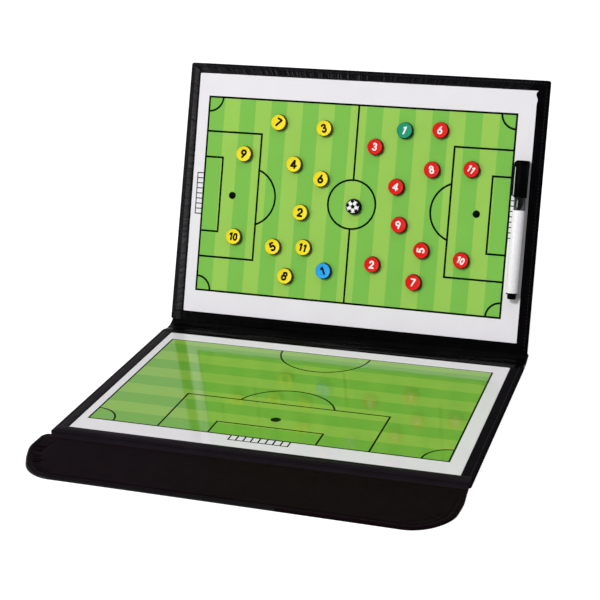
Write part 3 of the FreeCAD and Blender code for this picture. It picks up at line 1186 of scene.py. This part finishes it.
def number_outlines(text, width, size):
    """Outlines of the strokes of one or two digits, side by side about the origin."""
    scale = single_digit * size if len(text) == 1 else size
    outlines = []
    for index, digit in enumerate(text):
        shift = (index - (len(text) - 1) / 2) * digit_step * size
        for path in digits[digit]:
            placed = [(scale * x + shift, scale * y) for x, y in path]
            outlines.append(stroke(placed, width * scale, round_ends=True))
    return outlines


def anticlockwise(outline):
    following = outline[1:] + outline[:1]
    area = sum(start[0] * end[1] - end[0] * start[1] for start, end in zip(outline, following))
    return outline if area > 0 else outline[::-1]


def token_number(text, width, size):
    """Points, faces and looks of a printed number of some thickness about the origin."""
    reach = 9
    sheet = rectangle(-reach, -reach, reach, reach)
    layers = [(sheet, 0)] + [(anticlockwise(outline), 1) for outline in number_outlines(text, width, size)]
    flat, triangles, looks = painted(layers)
    kept = [triangle for triangle, look in zip(triangles, looks) if look == 1]
    used = sorted({index for triangle in kept for index in triangle})
    place = {index: order for order, index in enumerate(used)}
    kept = [tuple(place[index] for index in triangle) for triangle in kept]
    return thickened(flat[used], kept, [0] * len(kept), -number_thickness, number_thickness)


def on_lid(x, y, z):
    """A place on the flat lid, carried to the open one."""
    return lid_place @ Matrix.Translation((x, y, z))


def token_disc(name, node, body, slot, materials, dish, pocket_radius=0, pocket_height=0):
    """A low disc in a node's place, with a dished face inside a rounded rim, a wall that widens to its foot
    and takes the second finish, painted darker as shade, and a pocket for its magnet. Returns the place of
    its face."""
    edge, foot, draft = 0.5, 0.3, 0.55
    low, high = corners(node, lid_place)
    centre = (low + high) / 2
    radius, height = (high.x - low.x) / 2, high.z - low.z
    rim = radius - draft
    profile = [(0, height - dish)]
    for inset, share in ((1.35, 1), (1.15, 0.85), (0.8, 0.12), (0.65, 0)):
        profile.append((rim - inset, height - share * dish))
    profile += arc((rim - edge, height - edge), edge, 90, 8, 6)
    profile += [(radius, foot), (radius - foot, 0)]
    if pocket_radius:
        profile += [(pocket_radius, 0), (pocket_radius, pocket_height)]
    points, faces = turned(profile + [(0, pocket_height)])
    spread = np.hypot(*np.array(points)[:, :2].T)
    # Faces past the rim's rounding take the second finish: the wall, painted darker as shade.
    looks = [int(spread[list(face)].mean() > rim - edge / 3) for face in faces]
    disc = add_piece(name, points, faces, materials, looks, on_lid(centre.x, centre.y, low.z), sharp=30)
    declare(disc, body, slot, node)
    return on_lid(centre.x, centre.y, high.z - dish)


def player_token(body, colour, text):
    """One player's token, with its number on its face."""
    number, line_width, size = token_kinds[colour][2:]
    shell, magnet = body + "_shell", body + "_magnet"
    magnet_low, magnet_high = corners(magnet, lid_place)
    pocket_radius = (magnet_high.x - magnet_low.x) / 2 + leather_gap
    pocket_height = magnet_high.z - corners(shell, lid_place)[0].z
    face = token_disc(body + "_disc", shell, body, colour + "_plastic", token_finishes[colour], token_dish,
                      pocket_radius, pocket_height)
    turn = rotation(number_turns.get(body, 0), "Z")
    points, faces, looks = token_number(text, line_width, size)
    mark = add_piece(body + "_number", points, faces, [number], looks, face @ turn)
    declare(mark, body, "white_plastic" if number is white_number else "black_plastic")
    assign(magnet, ferrite)


def player_tokens():
    for body in frame["bodies"]:
        colour, _, count = body.partition("_")
        if colour in token_kinds:
            player_token(body, colour, str(int(count)))


def ball_panels():
    """Outlines of the ball's print: a white face, with dark patches and seams round a dark middle patch."""
    face, middle_patch, outer_patch, patch_reach = 5.4, 1.95, 1.75, 4.7
    seam_from, seam_to, seam_line = 1.5, 3.4, 0.4
    rim_from, rim_to, rim_lean, rim_line = 4.15, 5.9, 0.55, 0.3

    def pentagon(middle, size, turn):
        return arc(middle, size, turn, turn + 288, 4)

    layers = [(oval((0, 0), face, face, 56), 0), (pentagon((0, 0), middle_patch, ball_turn), 1)]
    for turn in range(ball_turn, ball_turn + 360, 72):
        way = Vector(polar(1, math.radians(turn)))
        layers.append((stroke(line(tuple(way * seam_from), tuple(way * seam_to)), seam_line), 1))
        layers.append((pentagon(way * patch_reach, outer_patch, turn + 180), 1))
        for side in (-36, 36):
            rim = math.radians(turn + side)
            start = rim - math.radians(side * rim_lean)
            layers.append((stroke(line(polar(rim_from, start), polar(rim_to, rim)), rim_line), 1))
    return layers


def ball_token():
    """The ball: a black disc with the white panels of a football printed on it."""
    finishes = [black_plastic, satin_plastic]
    face = token_disc("ball_disc", "ball_token", "ball", "ball_print", finishes, dish=0)
    points, faces, looks = thickened(*painted(ball_panels()), -number_thickness, number_thickness)
    panels = add_piece("ball_panels", points, faces, [white_number, dark_number], looks, face)
    declare(panels, "ball", "ball_print")


# Marker, turned about its own axis, with distances measured down from the top of its cap

cap_low, cap_high = corners("pen_cap", lid_place)
barrel_low, barrel_high = corners("pen_barrel", lid_place)
cap_radius = (cap_high.z - cap_low.z) / 2
barrel_radius = (barrel_high.x - barrel_low.x) / 2
pen_x = (barrel_low.x + barrel_high.x) / 2
pen_top = cap_high.y
cap_end = pen_top - cap_low.y
barrel_start = pen_top - barrel_high.y
barrel_end = pen_top - barrel_low.y
plug_end = pen_top - corners("pen_fittings", lid_place)[0].y
cap_bore = cap_radius - 1
barrel_bore = barrel_radius - 1
spigot_radius = barrel_radius - 1.06
spigot_length = 6


def cap_shape():
    """The cap with its wider head, a bead at its mouth, and its clip."""
    head, head_radius, top_edge = 6.0, cap_radius + 0.25, 0.5
    bead_radius = cap_radius + 0.12
    profile = [(0, 0)] + arc((head_radius - top_edge, top_edge), top_edge, -90, 0, 5)
    profile += [(head_radius, head - 0.5), (cap_radius, head + 0.1), (cap_radius, cap_end - 1.2)]
    profile += [(bead_radius, cap_end - 1.0), (bead_radius, cap_end - 0.25), (cap_radius - 0.1, cap_end)]
    profile += [(cap_bore, cap_end), (cap_bore, head + 0.2), (0, head)]
    points, faces = turned(profile)
    clip_points, clip_faces = clip(cap_low.x - pen_x)
    return points + clip_points, faces + shifted(clip_faces, len(points))


def clip(outer_x):
    """The cap's clip: a springy bar beside it, rounded, thicker at its root and turned in at its tip. A
    station is a distance, an outer and an inner x."""
    root_x = -cap_radius + 1.2
    inner_x = -cap_radius - 0.7
    half_width, sides = 2.0, 12
    stations = [(0.9, root_x, root_x + 0.4), (1.2, outer_x + 0.3, root_x), (4.6, outer_x, root_x)]
    stations += [(distance, outer_x, inner_x) for distance in (5.2, 16, 26, 28.3)]
    stations.append((29.3, outer_x + 0.25, outer_x + 1.05))
    points = []
    for along, near_x, far_x in stations:
        middle, half = (near_x + far_x) / 2, (far_x - near_x) / 2
        for side in range(sides):
            across, up = polar(1, 2 * math.pi * (side + 0.5) / sides)
            square_x = math.copysign(abs(across) ** 0.5, across)
            square_z = math.copysign(abs(up) ** 0.5, up)
            points.append((middle + half * square_x, half_width * square_z, along))
    return points, capped_tube(len(stations), sides)


def collar_shape():
    """The collar between cap and barrel, with a spigot in each."""
    radius, edge = 4.6, 0.3
    plug_radius, plug_start = cap_bore - 0.12, cap_end - 8
    groove = cap_end + 0.08
    profile = [(0, plug_start), (plug_radius, plug_start), (plug_radius, groove), (radius - 0.1, groove)]
    profile += [(radius, groove + edge), (radius, barrel_start - edge), (radius - 0.1, barrel_start)]
    profile += [(spigot_radius, barrel_start + 0.02), (spigot_radius, barrel_start + spigot_length)]
    return turned(profile + [(0, barrel_start + spigot_length)])


def plug_shape():
    """The end plug: a spigot in the barrel, a flange and a narrower end."""
    flange, end_radius, end_edge = 4.8, 3.6, 0.5
    profile = [(0, barrel_end - spigot_length), (spigot_radius, barrel_end - spigot_length)]
    profile += [(spigot_radius, barrel_end), (flange, barrel_end + 0.02), (flange, barrel_end + 0.8)]
    profile += [(flange - 0.2, barrel_end + 1), (end_radius, barrel_end + 1.05)]
    profile += [(end_radius, plug_end - end_edge), (end_radius - end_edge, plug_end), (0, plug_end)]
    return turned(profile)


def barrel_shape():
    """The barrel, a little slimmer near its end."""
    edge, slimmer = 0.35, 0.12
    profile = [(barrel_bore, barrel_start)]
    profile += arc((barrel_radius - edge, barrel_start + edge), edge, -90, 0, 4)
    profile += [(barrel_radius, barrel_end - 12), (barrel_radius - slimmer, barrel_end - 11.6)]
    profile += arc((barrel_radius - slimmer - edge, barrel_end - edge), edge, 0, 90, 4)
    return turned_tube(profile + [(barrel_bore, barrel_end)])


def marker():
    down = on_lid(pen_x, pen_top, (cap_low.z + cap_high.z) / 2) @ rotation(90, "X")
    for name, shape, material, body, node, slot in (
        ("pen_cap_turned", cap_shape(), satin_plastic, "pen_cap", "pen_cap", "black_plastic"),
        ("pen_collar_turned", collar_shape(), black_plastic, "pen", "pen_fittings", "black_plastic"),
        ("pen_plug_turned", plug_shape(), satin_plastic, "pen", "pen_fittings", "black_plastic"),
        ("pen_barrel_turned", barrel_shape(), white_plastic, "pen", "pen_barrel", "white_plastic"),
    ):
        declare(add_piece(name, *shape, [material], place=down, sharp=35), body, slot, node)
    assign("pen_wick", felt)
    assign("cap_magnet", ferrite)


# The object

base_ease = {"fold_side": 1, "left": (2.4, 2.2), "right": (1.7, 0.9), "far": 0}
lid_ease = {"fold_side": -1, "left": (3.2, 0.9), "right": (0.7, 0.8), "far": 0.25}
base_panel = {"body": "base", "place": Matrix(), "ease": base_ease, "falls": (0.4, 0.3, 0.0)}
lid_panel = {"body": "lid", "place": lid_place, "ease": lid_ease, "falls": (1.0, 0.3, 0.0)}
left_side, right_side, far_side = (-1, 0), (1, 0), (0, 1)
printed_board("base_board", base_print(), base_greens, Matrix(), "base")
printed_board("lid_board", lid_print(), lid_greens, lid_place, "lid")
leather_wrap(**base_panel, materials=[base_leather, base_edge], strip_sides=(-1, 1),
             pleat_heights=(0.1, 0.04, 0.0), seed=3)
leather_wrap(**lid_panel, materials=[lid_leather, lid_edge], strip_sides=(-1,),
             pleat_heights=(0.3, 0.03, 0.45), seed=7)
seam(**base_panel, sides=[left_side, right_side])
seam(**lid_panel, sides=[left_side, right_side, far_side])
spine_strips()
flap_root()
flap_sheet()
player_tokens()
ball_token()
marker()
for core in ("base_core", "lid_core"):
    assign(core, grey_board)
assign("flap_magnets", ferrite)


# Floor, light and camera

def maths(tree, operation, first, second):
    """A maths node on one output and another output or a number."""
    node = tree.nodes.new("ShaderNodeMath")
    node.operation = operation
    tree.links.new(first, node.inputs[0])
    if isinstance(second, float):
        node.inputs[1].default_value = second
    else:
        tree.links.new(second, node.inputs[1])
    return node.outputs["Value"]


def seen_directly(tree, strength):
    """A strength for rays from the camera, mirrors and glass, and none for the light on the object."""
    rays = tree.nodes.new("ShaderNodeLightPath").outputs
    total = maths(tree, "MAXIMUM", rays["Is Camera Ray"], rays["Is Glossy Ray"])
    total = maths(tree, "MAXIMUM", total, rays["Is Transmission Ray"])
    return maths(tree, "MULTIPLY", total, strength)


def add_floor():
    """A pale floor that shows white to the camera, apart from the object's soft shadow."""
    half = 6.0
    grey, glow = 0.44, 0.86
    mesh = bpy.data.meshes.new("floor")
    square = rectangle(-half, -half, half, half)
    mesh.from_pydata([(*corner, 0) for corner in square], [], [(0, 1, 2, 3)])
    floor = bpy.data.objects.new("floor", mesh)
    bpy.context.scene.collection.objects.link(floor)
    material = bpy.data.materials.new("floor")
    material.use_nodes = True
    tree = material.node_tree
    sockets = tree.nodes["Principled BSDF"].inputs
    sockets["Base Color"].default_value = (grey, grey, grey, 1)
    sockets["Roughness"].default_value = 0.9
    sockets[SPECULAR].default_value = 0.0
    sockets["Emission Color"].default_value = (1, 1, 1, 1)
    tree.links.new(seen_directly(tree, glow), sockets["Emission Strength"])
    mesh.materials.append(material)


def add_world():
    """A soft room, brighter behind the object than in front of it, which the camera itself sees as white."""
    in_front, behind = 0.05, 0.55
    world = bpy.data.worlds.new("room")
    bpy.context.scene.world = world
    world.use_nodes = True
    tree = world.node_tree
    direction = tree.nodes.new("ShaderNodeSeparateXYZ")
    tree.links.new(tree.nodes.new("ShaderNodeTexCoord").outputs["Generated"], direction.inputs["Vector"])
    level = mapped(tree, direction.outputs["Y"], (-1, 1), (in_front, behind))
    by_camera = tree.nodes.new("ShaderNodeLightPath").outputs["Is Camera Ray"]
    background = tree.nodes["Background"]
    background.inputs["Color"].default_value = (1, 1, 1, 1)
    tree.links.new(maths(tree, "MAXIMUM", level, by_camera), background.inputs["Strength"])


def add_lamp(name, azimuth, elevation, distance, size, light, mirrored=False):
    """A square lamp that faces the object from a direction, with azimuth 0 in front and negative to the left.
    Distance and size are in metres, and light is how much of it falls on a surface that faces it. Only a
    mirrored lamp shows in glossy surfaces."""
    target = Vector((0, 0.1, 0.1))
    way = rotation(azimuth, "Z") @ rotation(-elevation, "X") @ Vector((0, -1, 0))
    lamp = bpy.data.lights.new(name, "AREA")
    lamp.size = size
    lamp.energy = light * math.pi * distance ** 2
    holder = bpy.data.objects.new(name, lamp)
    holder.location = target + way * distance
    holder.visible_glossy = mirrored
    holder.rotation_mode = "QUATERNION"
    holder.rotation_quaternion = (-way).to_track_quat("-Z", "Y")
    bpy.context.scene.collection.objects.link(holder)


def add_camera():
    """The photograph's view: a square frame from the front, to the right and above. The focal length is in
    the photograph's pixels."""
    photo_side = 600
    focal_length = 1516.0
    place = Vector((320.27, -1046.96, 467.62))
    yaw, pitch, roll = -16.96, 19.29, 0.28
    data = bpy.data.cameras.new("camera")
    data.lens = data.sensor_width * focal_length / photo_side
    camera = bpy.data.objects.new("camera", data)
    turn = rotation(-yaw, "Z") @ rotation(90 - pitch, "X") @ rotation(-roll, "Z")
    camera.matrix_world = Matrix.Translation(place * MM) @ turn
    bpy.context.scene.collection.objects.link(camera)
    bpy.context.scene.camera = camera


add_floor()
add_world()
add_lamp("key", azimuth=-20, elevation=38, distance=5.0, size=0.7, light=1.95)
add_lamp("left", azimuth=-43, elevation=14, distance=4.0, size=1.5, light=0.95, mirrored=True)
add_lamp("top", azimuth=5, elevation=75, distance=2.9, size=1.6, light=0.48)
add_camera()
bpy.context.scene.view_settings.view_transform = "Standard"
